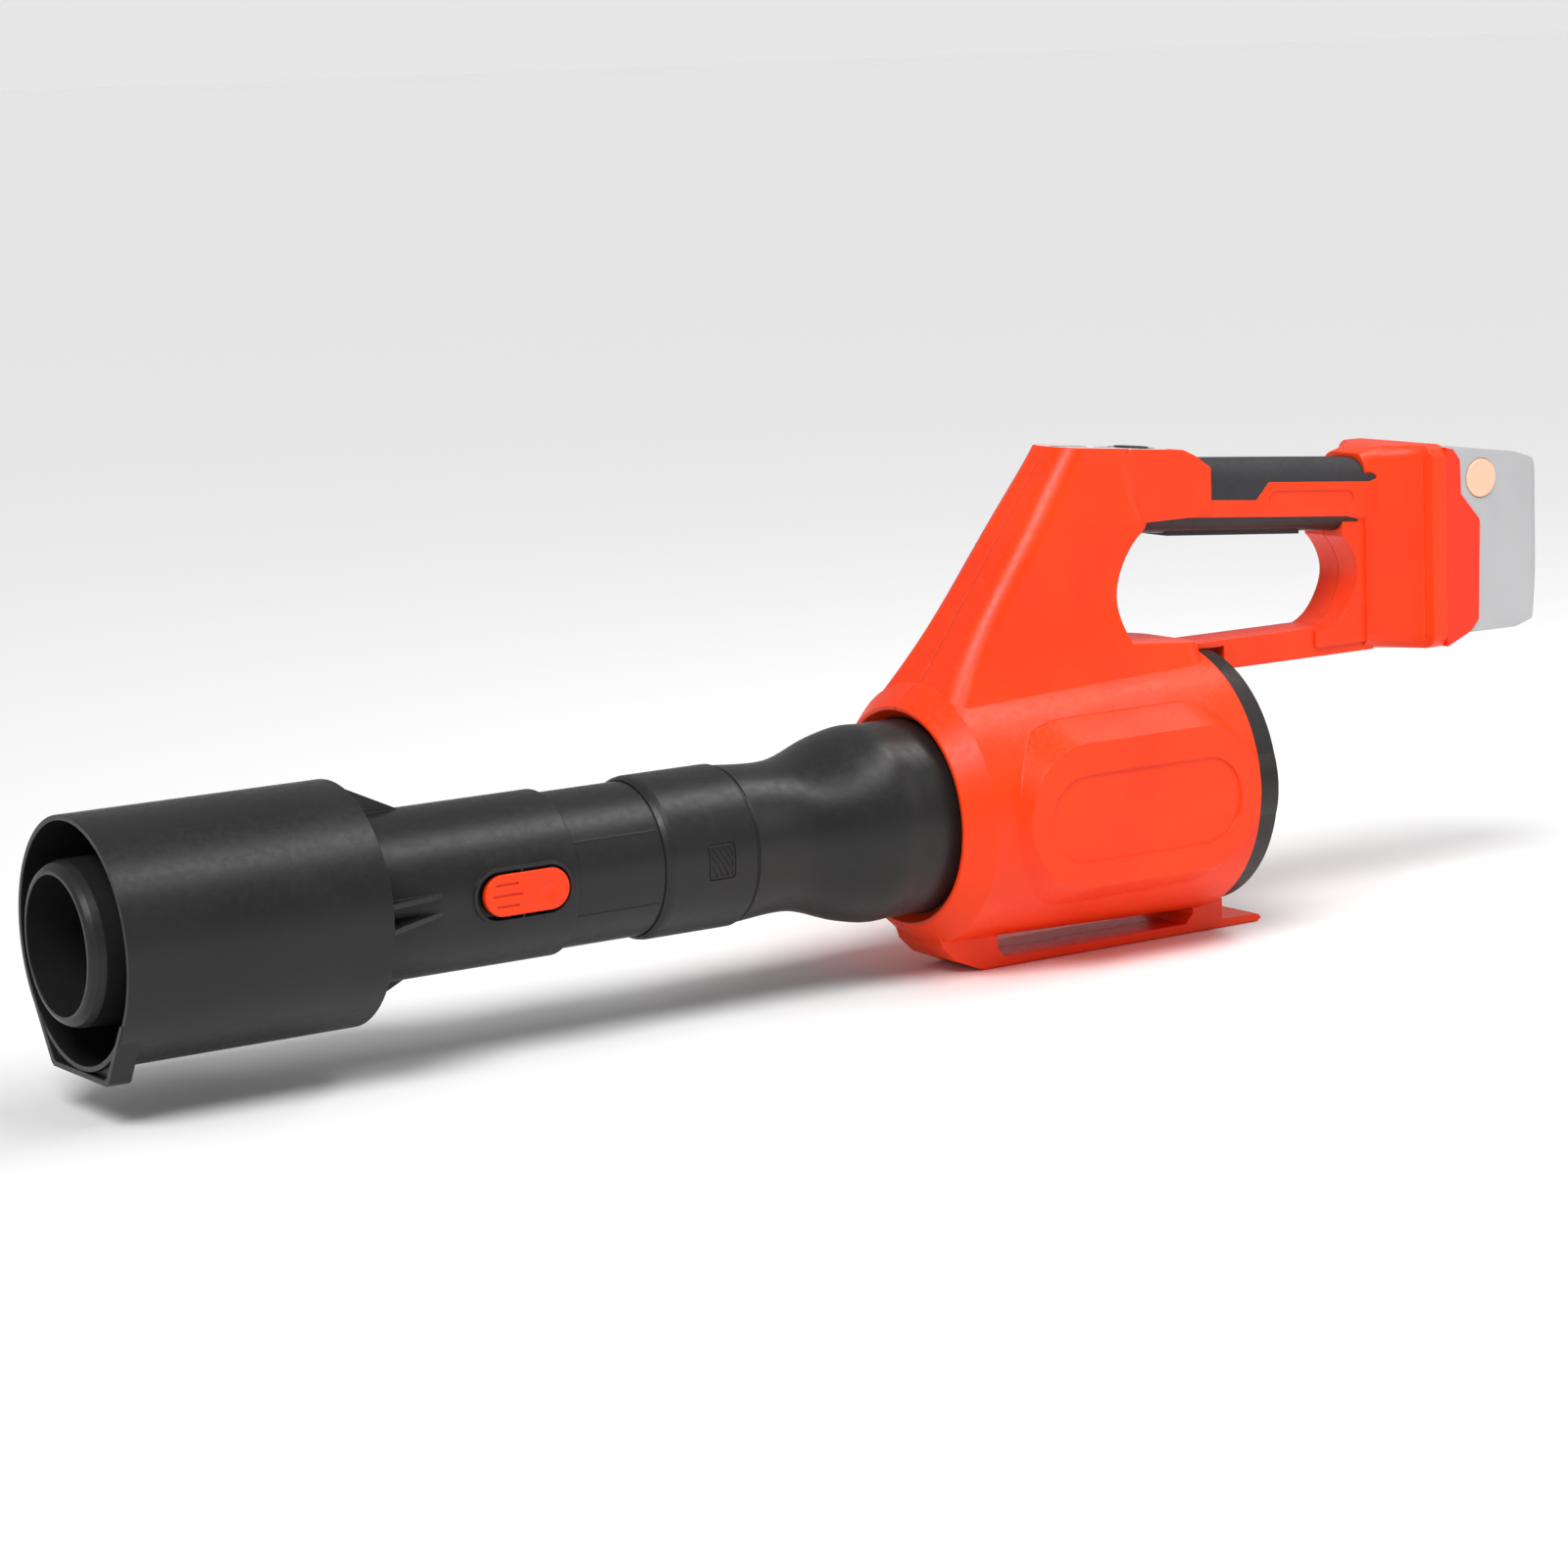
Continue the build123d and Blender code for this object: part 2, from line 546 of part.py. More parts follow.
def blade(angle, root, tip, start, end, twist, thick, sink=0.6):
    """One blade or vane: a plate from root to tip radius, pitched about its radial line."""
    middle = st((start + end) / 2)
    out = Vector(0, cos(radians(angle)), sin(radians(angle)))
    around = Vector(0, -sin(radians(angle)), cos(radians(angle)))
    chord = Vector(cos(radians(twist)), 0, 0) + around * sin(radians(twist))
    base = Vector(middle, 0, AXIS_Z) + out * (root - sink)
    with BuildSketch(Plane(origin=base, x_dir=chord, z_dir=out)) as section:
        RectangleRounded((end - start) / cos(radians(twist)) * 0.94, thick, thick * 0.45)
    extrude(section.sketch, amount=tip - root + 2 * sink)


with BuildPart() as fan_duct:
    turn([(DUCT_START, DUCT_BORE), (DUCT_START, DUCT_R), (588, DUCT_R), (600, 57), (603, 61.5),
          (604.5, 61.5), (604.5, 59), (601.5, 54.5), (DUCT_END, DUCT_BORE)])
    for flange in (484, 574):
        turn([(flange, DUCT_R - 0.5), (flange, 59.5), (flange + 2.5, 59.5), (flange + 2.5, DUCT_R - 0.5)])
    turn([(NACELLE_START, NACELLE_BORE), (NACELLE_START, NACELLE_R), (NACELLE_END, NACELLE_R),
          (NACELLE_END, NACELLE_BORE)])
    for index in range(VANES):
        blade(index * 360 / VANES + 13, NACELLE_R, DUCT_BORE, 508, 546, 12, 1.8)
finish(fan_duct, "fan_duct")

with BuildPart() as duct_cushions:
    for flange, reach in ((484, 62.6), (574, 64.2)):
        turn([(flange - 1.5, 59.5), (flange - 1.5, reach), (flange + 4, reach), (flange + 4, 59.5)])
finish(duct_cushions, "duct_cushions")

with BuildPart() as duct_tail_cone:
    with BuildSketch(Plane.XZ):
        with BuildLine():
            nose = Spline(*side([(480, 0), (484, 12), (491, 20), (NACELLE_START, NACELLE_R)]),
                          tangents=[(0, 1), (1, 0.15)])
            Polyline(nose @ 1, *side([(NACELLE_START, 0), (480, 0)]))
        make_face()
    revolve(axis=TUBE_AXIS)
finish(duct_tail_cone, "duct_tail_cone")

with BuildPart() as motor_core:
    turn([(506, 14), (506, NACELLE_BORE), (538, NACELLE_BORE), (538, 14)])
    with BuildSketch(cross_plane(505)):
        with PolarLocations(14.6, 6, start_angle=30):
            Rectangle(6, 5)
    extrude(amount=34, mode=Mode.SUBTRACT)
finish(motor_core, "motor_core")

with BuildPart() as motor_windings:
    for start in (501.5, 538.2):
        for index in range(6):
            angle = radians(60 * index)
            with Locations((st(start + 2.2), 17 * cos(angle), AXIS_Z + 17 * sin(angle))):
                Box(4.3, 5.6, 5.6)
finish(motor_windings, "motor_windings")

with BuildPart() as motor_end_plate:
    turn([(549, 5.1), (549, NACELLE_BORE - 0.05), (552, NACELLE_BORE - 0.05), (552, 7.5),
          (556, 7.5), (556, 5.1)])
finish(motor_end_plate, "motor_end_plate")

with BuildPart() as motor_front_plate:
    turn([(NACELLE_START + 0.2, 5.1), (NACELLE_START + 0.2, NACELLE_BORE - 0.05),
          (NACELLE_START + 3, NACELLE_BORE - 0.05), (NACELLE_START + 3, 5.1)])
finish(motor_front_plate, "motor_front_plate")

with BuildPart() as motor_bearings:
    for start, long in ((NACELLE_START + 0.2, 2.8), (551.5, 4.5)):
        turn([(start, SHAFT_R + 0.05), (start, 5.1), (start + long, 5.1), (start + long, SHAFT_R + 0.05)])
finish(motor_bearings, "motor_bearings")

with BuildPart() as motor_rotor:
    turn([(507, SHAFT_R), (507, 12.4), (537, 12.4), (537, SHAFT_R)])
finish(motor_rotor, "motor_rotor")

with BuildPart() as motor_shaft:
    turn([(NACELLE_START + 0.4, 0), (NACELLE_START + 0.4, SHAFT_R), (590, SHAFT_R), (590, 0)])
finish(motor_shaft, "motor_shaft")

with BuildPart() as fan_impeller:
    turn([(FAN_START, SHAFT_R), (FAN_START, FAN_HUB_R), (FAN_END - 4, FAN_HUB_R), (FAN_END, 17),
          (FAN_END, SHAFT_R)])
    for index in range(BLADES):
        blade(index * 360 / BLADES, FAN_HUB_R, FAN_R - 0.6, FAN_START + 2, FAN_END - 5, 38, 2.2, 0.6)
finish(fan_impeller, "fan_impeller")

with BuildPart() as impeller_nut:
    with BuildSketch(cross_plane(FAN_END)):
        RegularPolygon(5.2, 6)
        Circle(SHAFT_R, mode=Mode.SUBTRACT)
    extrude(amount=4.5)
finish(impeller_nut, "impeller_nut")

# ---------------------------------------------------------------- controls
def under_grip(station):
    """Height of the grip's underside at a station."""
    return GRIP_TOP - (station - GRIP_START) * tan(radians(GRIP_TILT)) - GRIP_HIGH


with BuildPart() as trigger:
    low = 1.4
    slab([(TRIGGER_START, under_grip(TRIGGER_START) - low), (TRIGGER_END, under_grip(TRIGGER_END) - low),
          (TRIGGER_END, under_grip(TRIGGER_END) + 5), (715, 132.2), (708, 132.8),
          (660, under_grip(660) + 4), (TRIGGER_START, under_grip(TRIGGER_START) + 6)], 8.9)
    rod((st(TRIGGER_PIVOT), -9.2, ht(TRIGGER_PIVOT_H)), (st(TRIGGER_PIVOT), 9.2, ht(TRIGGER_PIVOT_H)),
        PIN_R + 0.05, Mode.SUBTRACT)
finish(trigger, "trigger")

with BuildPart() as trigger_pin:
    rod(*PIN_ENDS, PIN_R)
finish(trigger_pin, "trigger_pin")

with BuildPart() as trigger_switch:
    box_at((650, 684), (-9, 9), (142.5, 154))
    box_at((655, 661), (-3, 3), (137.4, 142.5))
finish(trigger_switch, "trigger_switch")

with BuildPart() as controller_board:
    with BuildSketch(Plane(origin=(st(545), -2, ht(112)), x_dir=(0.54, 0, 0.84), z_dir=(0, -1, 0))):
        RectangleRounded(62, 34, 2)
    extrude(amount=1.6)
finish(controller_board, "controller_board")

with BuildPart() as board_capacitors:
    for along, across in ((-18, -6), (-4, -6), (10, -6)):
        where = (st(545) + 0.54 * along - 0.84 * across, -3.6, ht(112) + 0.84 * along + 0.54 * across)
        rod(where, (where[0], -13.6, where[2]), 5)
finish(board_capacitors, "board_capacitors")

with BuildPart() as board_heat_sink:
    with BuildSketch(Plane(origin=(st(545), -2, ht(112)), x_dir=(0.54, 0, 0.84), z_dir=(0, 1, 0))):
        Rectangle(50, 28)
    extrude(amount=2.5)
    with BuildSketch(Plane(origin=(st(545), 0.5, ht(112)), x_dir=(0.54, 0, 0.84), z_dir=(0, 1, 0))):
        with GridLocations(0, 5, 1, 6):
            Rectangle(50, 1.6)
    extrude(amount=8)
finish(board_heat_sink, "board_heat_sink")

PANEL_TOP = Plane(origin=(st(593), 0, ht(177.4)), x_dir=(1, 0, -0.0921), z_dir=(0.0921, 0, 1))
BOOST_ALONG = 19.0
BOOST_R = 9.0

with BuildPart() as control_panel:
    with BuildSketch(PANEL_TOP.offset(-1.5)):
        RectangleRounded(71.8, 29.8, 8.8)
        with Locations((BOOST_ALONG, 0)):
            Circle(BOOST_R + 0.3, mode=Mode.SUBTRACT)
        with Locations((-22, 0)):
            with GridLocations(7, 0, 3, 1):
                Circle(1.55, mode=Mode.SUBTRACT)
    extrude(amount=1.5)
finish(control_panel, "control_panel")

with BuildPart() as boost_button:
    with BuildSketch(PANEL_TOP.offset(-0.6)):
        with Locations((BOOST_ALONG, 0)):
            Circle(BOOST_R)
    extrude(amount=1.4)
    fillet(boost_button.faces().sort_by(Axis.Z)[-1].edges(), 0.4)
finish(boost_button, "boost_button")

with BuildPart() as charge_lights:
    with BuildSketch(PANEL_TOP.offset(-1.4)):
        with Locations((-22, 0)):
            with GridLocations(7, 0, 3, 1):
                Circle(1.5)
    extrude(amount=1.4)
finish(charge_lights, "charge_lights")

with BuildPart() as housing_screws:
    for station, above_axis, reach in SCREW_PLACES:
        with BuildSketch(Plane(origin=(st(station), HEAD_SEAT, ht(above_axis)), z_dir=(0, 1, 0))):
            Circle(HEAD_R)
        extrude(amount=2.4)
        with BuildSketch(Plane(origin=(st(station), HEAD_SEAT + 2.4, ht(above_axis)), z_dir=(0, 1, 0))):
            RegularPolygon(1.7, 6)
        extrude(amount=-1.3, mode=Mode.SUBTRACT)
        rod((st(station), -8, ht(above_axis)), (st(station), HEAD_SEAT, ht(above_axis)), SHANK_R)
finish(housing_screws, "housing_screws")

# ---------------------------------------------------------------- battery end
SOCKET_OUTLINE = [(FLANGE_END, 163), (801, 161.5), (806, 155.5), (806.5, 137), (820, 122),
                  (818.5, 68), (812, 61.5), (FLANGE_END, 55)]
BATTERY_OUTLINE = [(801.4, 161.8), (806.4, 155.7), (806.9, 137.2), (820.4, 122.2), (818.9, 67.8),
                   (812.6, 61.2), (846, 61.0), (858.5, 64.5), (864.8, 107), (866, 140), (860, 152.5),
                   (846, 157), (815, 160.6)]

with BuildPart() as battery_socket:
    slab(SOCKET_OUTLINE, FLANGE_HALF - 0.2, rounds=((4, 4),))
    box_at((FLANGE_END - 1, 830), (-STEM_HALF - 0.5, STEM_HALF + 0.5),
           (STEM_LOW - 0.5, STEM_TOP + 0.5), Mode.SUBTRACT)
finish(battery_socket, "battery_socket")

with BuildPart() as terminal_block:
    box_at((768, 786.8), (-12.5, 12.5), (92, 128))
finish(terminal_block, "terminal_block")

BLADE_PLACES = [-8, 0, 8]
with BuildPart() as terminal_blades:
    for across in BLADE_PLACES:
        box_at((786.8, 800), (across - 0.6, across + 0.6), (98, 122))
finish(terminal_blades, "terminal_blades")

with BuildPart() as battery_case:
    slab(BATTERY_OUTLINE, BATTERY_HALF, rounds=((7, 3), (8, 4), (9, 10), (10, 5), (11, 8)))
    with BuildPart(mode=Mode.PRIVATE) as envelope:
        with BuildSketch(Plane.XY.offset(AXIS_Z + 40)):
            with Locations((st(820), 0)):
                RectangleRounded(2 * 46, 2 * BATTERY_HALF, 9)
        extrude(amount=160)
    add(envelope.part, mode=Mode.INTERSECT)
    slab([(823, 119), (821, 70), (824, 64), (845, 63.5), (856, 66), (862.3, 107), (863, 140),
          (858, 150), (845, 154.5), (816, 158), (809.5, 154), (809.8, 140)], BATTERY_HALF - 2.4,
         Mode.SUBTRACT)
    box_at((800, 824), (-STEM_HALF, STEM_HALF), (STEM_LOW, STEM_TOP), Mode.SUBTRACT)
    for facing in (-1, 1):
        with BuildSketch(side_plane(facing * (BATTERY_HALF + 1), RELEASE_S, RELEASE_H)):
            Circle(RELEASE_R + 0.3)
        extrude(amount=-5, mode=Mode.SUBTRACT)
finish(battery_case, "battery_case")

with BuildPart() as battery_stem:
    box_at((STEM_START, 822.5), (-STEM_HALF, STEM_HALF), (STEM_LOW, STEM_TOP))
    for across in BLADE_PLACES:
        box_at((STEM_START - 1, 804), (across - 1.1, across + 1.1), (96, 124), Mode.SUBTRACT)
finish(battery_stem, "battery_stem")

with BuildPart() as battery_contacts:
    for across in BLADE_PLACES:
        for side_step in (-0.85, 0.85):
            box_at((792, 803), (across + side_step - 0.2, across + side_step + 0.2), (100, 120))
finish(battery_contacts, "battery_contacts")

with BuildPart() as battery_cells:
    for station, above_axis in ((847.6, 78), (847.6, 97.4), (847.6, 116.8), (832, 87.7), (832, 107.1)):
        rod((st(station), -CELL_LONG / 2, ht(above_axis)), (st(station), CELL_LONG / 2, ht(above_axis)),
            CELL_R)
finish(battery_cells, "battery_cells")

with BuildPart() as battery_board:
    box_at((826, 856), (-28, 28), (130, 131.6))
finish(battery_board, "battery_board")

for facing, name in ((-1, "battery_release_left"), (1, "battery_release_right")):
    with BuildPart() as battery_release:
        with BuildSketch(side_plane(facing * (BATTERY_HALF - 2.2), RELEASE_S, RELEASE_H)):
            Circle(RELEASE_R)
        extrude(amount=3)
        fillet(battery_release.faces().sort_by(Axis.Y)[-1 if facing > 0 else 0].edges(), 0.6)
    finish(battery_release, name)

# ---------------------------------------------------------------- wiring
LEAD_R = 1.4


def lead(points, radius=LEAD_R, bend=9.0):
    """A wire along row points with round bends."""
    with BuildLine() as path:
        FilletPolyline(*points, radius=bend)
    with BuildSketch(Plane(origin=path.line @ 0, z_dir=path.line % 0)) as section:
        Circle(radius)
    sweep(section.sketch, path=path.line)


with BuildPart() as battery_leads:
    for across in (-3.5, 3.5):
        lead([(st(774), across, ht(128)), (st(774), across, ht(148)), (st(735), across, ht(152.2)),
              (st(684), across, ht(156.6)), (st(596), across, ht(162.6))])
finish(battery_leads, "battery_leads")
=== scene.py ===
"""Looks of the cordless leaf blower: finishes, the panel's printed marks, studio and camera.

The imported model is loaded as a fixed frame, in metres, with +X from the nozzle to the battery,
+Z up and z = 0 on the underside of the foot.
"""
import logging
from dataclasses import dataclass, field
from enum import Enum
from math import cos, radians, sin

import bmesh
import bpy
from mathutils import Matrix, Vector


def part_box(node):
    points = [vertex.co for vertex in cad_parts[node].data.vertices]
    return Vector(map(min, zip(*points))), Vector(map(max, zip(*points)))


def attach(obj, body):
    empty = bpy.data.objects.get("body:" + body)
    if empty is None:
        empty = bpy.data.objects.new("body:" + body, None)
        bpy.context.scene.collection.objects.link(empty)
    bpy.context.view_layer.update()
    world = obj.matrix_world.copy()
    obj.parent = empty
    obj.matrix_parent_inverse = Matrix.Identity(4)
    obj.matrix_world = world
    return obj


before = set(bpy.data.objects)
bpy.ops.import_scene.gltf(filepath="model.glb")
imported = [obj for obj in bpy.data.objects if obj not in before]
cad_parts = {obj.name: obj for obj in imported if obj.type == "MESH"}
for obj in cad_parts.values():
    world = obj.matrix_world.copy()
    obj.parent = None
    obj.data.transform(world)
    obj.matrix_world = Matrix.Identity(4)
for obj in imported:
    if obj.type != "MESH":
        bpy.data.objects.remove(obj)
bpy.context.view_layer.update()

MM = 0.001
log = logging.getLogger("leaf_blower")

Colour = tuple[float, float, float]
Tree = bpy.types.NodeTree
Sockets = dict[str, object]


class Effect(Enum):
    """Shader node groups that several finishes share."""

    GRAIN = "moulded_grain"
    EDGES = "softened_edges"
    DUST = "settled_dust"
    CLOUDS = "colour_clouds"


class Pattern(Enum):
    """The fine relief that a finish carries."""

    SATIN = "satin"
    LEATHER = "leather"
    TURNED = "turned"


# ---------------------------------------------------------------- node helpers
def add_node(tree: Tree, kind: str, values: Sockets | None = None, **settings: object) -> bpy.types.Node:
    """Adds a node and sets its unlinked inputs.

    Args:
        tree: The tree that takes the node.
        kind: The node's type name.
        values: Input values by socket name or index.
        settings: Properties of the node itself.

    Returns:
        The new node.
    """
    node = tree.nodes.new(kind)
    for name, value in settings.items():
        setattr(node, name, value)
    for socket, value in (values or {}).items():
        node.inputs[socket].default_value = value
    return node


def math_node(tree: Tree, operation: str, first: object, second: object, clamp: bool = False) -> object:
    """Combines two values or sockets.

    Args:
        tree: The tree that takes the node.
        operation: The math operation's name.
        first: A socket or a number.
        second: A socket or a number.
        clamp: Whether the result is held between 0 and 1.

    Returns:
        The result's output socket.
    """
    node = add_node(tree, "ShaderNodeMath", operation=operation, use_clamp=clamp)
    for socket, value in zip(node.inputs, (first, second)):
        if isinstance(value, (int, float)):
            socket.default_value = value
        else:
            tree.links.new(value, socket)
    return node.outputs[0]


def ramp(tree: Tree, value: object, low: float, high: float, bottom: float = 0.0, top: float = 1.0) -> object:
    """Maps a value's range to another, smoothly and held at both ends.

    Args:
        tree: The tree that takes the node.
        value: The socket to map.
        low: The value that gives bottom.
        high: The value that gives top.
        bottom: The result at low.
        top: The result at high.

    Returns:
        The result's output socket.
    """
    node = add_node(tree, "ShaderNodeMapRange", {1: low, 2: high, 3: bottom, 4: top},
                    interpolation_type="SMOOTHSTEP")
    tree.links.new(value, node.inputs[0])
    return node.outputs[0]


def mix_colour(tree: Tree, factor: object, first: object, second: object) -> object:
    """Mixes two colours.

    Args:
        tree: The tree that takes the node.
        factor: The socket that says how much of the second colour shows.
        first: A colour or a colour socket.
        second: A colour or a colour socket.

    Returns:
        The mixed colour's output socket.
    """
    node = add_node(tree, "ShaderNodeMix", data_type="RGBA")
    tree.links.new(factor, node.inputs[0])
    for index, value in ((6, first), (7, second)):
        if isinstance(value, tuple):
            node.inputs[index].default_value = (*value, 1)
        else:
            tree.links.new(value, node.inputs[index])
    return node.outputs[2]


def object_place(tree: Tree) -> object:
    """Gives the place on a piece in its own metres, which stays put when the piece moves."""
    return add_node(tree, "ShaderNodeTexCoord").outputs["Object"]


def noise(tree: Tree, values: Sockets) -> bpy.types.Node:
    """Adds a noise that lies still on the piece.

    Args:
        tree: The tree that takes the noise.
        values: The noise's input values by socket name.

    Returns:
        The noise's node.
    """
    node = add_node(tree, "ShaderNodeTexNoise", values)
    tree.links.new(object_place(tree), node.inputs["Vector"])
    return node


# ---------------------------------------------------------------- shared effects
CLOUD_SCALE = 14.0
COARSER_BY = 7
DUST_COLOUR = (0.52, 0.49, 0.45)
COAT_ROUGHNESS = 0.12
RELIEF_DEPTH = 0.0002
PEBBLE_SCALE = 0.55
PEBBLE_EDGE = 0.25
PEBBLE_GRAIN = 0.3
LATHE_SCALE = 900.0


@dataclass
class EffectGroups:
    """The shader node groups, each built once when it is first asked for."""

    made: dict[Effect, Tree] = field(default_factory=dict)
    coarse_share: float = 0.35
    coarse_range: tuple[float, float] = (0.35, 0.7)
    edge_samples: int = 6
    edge_turn: tuple[float, float] = (0.998, 0.93)
    wear_range: tuple[float, float] = (0.42, 0.68)
    upward_range: tuple[float, float] = (0.2, 1.0)
    speck_range: tuple[float, float] = (0.45, 0.75)
    cloud_range: tuple[float, float] = (0.3, 0.72)

    def get(self, effect: Effect) -> Tree:
        """Gives a group, building it the first time.

        Args:
            effect: The wanted effect.

        Returns:
            The effect's node group.
        """
        if effect not in self.made:
            builders = {Effect.GRAIN: self.grain, Effect.EDGES: self.edges, Effect.DUST: self.dust,
                        Effect.CLOUDS: self.clouds}
            self.made[effect] = builders[effect]()
        return self.made[effect]

    def start(self, effect: Effect, inputs: dict[str, float],
              outputs: dict[str, str]) -> tuple[Tree, bpy.types.Node, bpy.types.Node]:
        """Starts a group with named sockets.

        Args:
            effect: The effect that names the group.
            inputs: Value inputs and their usual values.
            outputs: Output names and socket types.

        Returns:
            The tree, its input node and its output node.
        """
        tree = bpy.data.node_groups.new(effect.value, "ShaderNodeTree")
        for name, usual in inputs.items():
            socket = tree.interface.new_socket(name, in_out="INPUT", socket_type="NodeSocketFloat")
            socket.default_value = usual
        for name, kind in outputs.items():
            tree.interface.new_socket(name, in_out="OUTPUT", socket_type=kind)
        return tree, tree.nodes.new("NodeGroupInput"), tree.nodes.new("NodeGroupOutput")

    def grain(self) -> Tree:
        """Builds the fine pits of a spark-eroded mould.

        Returns:
            A group with Height and Mask outputs.
        """
        tree, given, result = self.start(
            Effect.GRAIN, {"Scale": 1800.0, "Coarse": 240.0}, {"Height": "NodeSocketFloat",
                                                              "Mask": "NodeSocketFloat"})
        fine = noise(tree, {"Detail": 3.0, "Roughness": 0.6})
        coarse = noise(tree, {"Detail": 2.0, "Roughness": 0.5})
        tree.links.new(given.outputs["Scale"], fine.inputs["Scale"])
        tree.links.new(given.outputs["Coarse"], coarse.inputs["Scale"])
        height = math_node(tree, "MULTIPLY_ADD", coarse.outputs[0], self.coarse_share)
        tree.links.new(fine.outputs[0], height.node.inputs[2])
        tree.links.new(height, result.inputs["Height"])
        tree.links.new(ramp(tree, coarse.outputs[0], *self.coarse_range), result.inputs["Mask"])
        return tree

    def edges(self) -> Tree:
        """Builds the small rounding of every sharp edge, and a mask that shows where edges are.

        Returns:
            A group with Normal and Mask outputs.
        """
        tree, given, result = self.start(
            Effect.EDGES, {"Radius": 0.0008, "Wear": 0.5}, {"Normal": "NodeSocketVector",
                                                           "Mask": "NodeSocketFloat"})
        rounded = add_node(tree, "ShaderNodeBevel", samples=self.edge_samples)
        tree.links.new(given.outputs["Radius"], rounded.inputs["Radius"])
        true_way = add_node(tree, "ShaderNodeNewGeometry").outputs["Normal"]
        along = add_node(tree, "ShaderNodeVectorMath", operation="DOT_PRODUCT")
        tree.links.new(rounded.outputs[0], along.inputs[0])
        tree.links.new(true_way, along.inputs[1])
        turned = ramp(tree, along.outputs["Value"], *self.edge_turn)
        patchy = noise(tree, {"Scale": 90.0, "Detail": 4.0})
        worn = math_node(tree, "MULTIPLY", turned, ramp(tree, patchy.outputs[0], *self.wear_range))
        mask = math_node(tree, "MULTIPLY", worn, given.outputs["Wear"], clamp=True)
        tree.links.new(mask, result.inputs["Mask"])
        tree.links.new(rounded.outputs[0], result.inputs["Normal"])
        return tree

    def dust(self) -> Tree:
        """Builds the thin dust that settles on faces turned upwards.

        Returns:
            A group with a Mask output.
        """
        tree, given, result = self.start(Effect.DUST, {"Amount": 0.1}, {"Mask": "NodeSocketFloat"})
        way = add_node(tree, "ShaderNodeSeparateXYZ")
        tree.links.new(add_node(tree, "ShaderNodeNewGeometry").outputs["Normal"], way.inputs[0])
        specks = noise(tree, {"Scale": 420.0, "Detail": 5.0, "Roughness": 0.7})
        lying = math_node(tree, "MULTIPLY", ramp(tree, way.outputs["Z"], *self.upward_range),
                          ramp(tree, specks.outputs[0], *self.speck_range))
        mask = math_node(tree, "MULTIPLY", lying, given.outputs["Amount"], clamp=True)
        tree.links.new(mask, result.inputs["Mask"])
        return tree

    def clouds(self) -> Tree:
        """Builds the slow drift of colour of a large moulding.

        Returns:
            A group with a Mask output.
        """
        tree, given, result = self.start(Effect.CLOUDS, {"Scale": CLOUD_SCALE}, {"Mask": "NodeSocketFloat"})
        drift = noise(tree, {"Detail": 3.0, "Distortion": 0.6})
        tree.links.new(given.outputs["Scale"], drift.inputs["Scale"])
        tree.links.new(ramp(tree, drift.outputs[0], *self.cloud_range), result.inputs["Mask"])
        return tree


EFFECTS = EffectGroups()


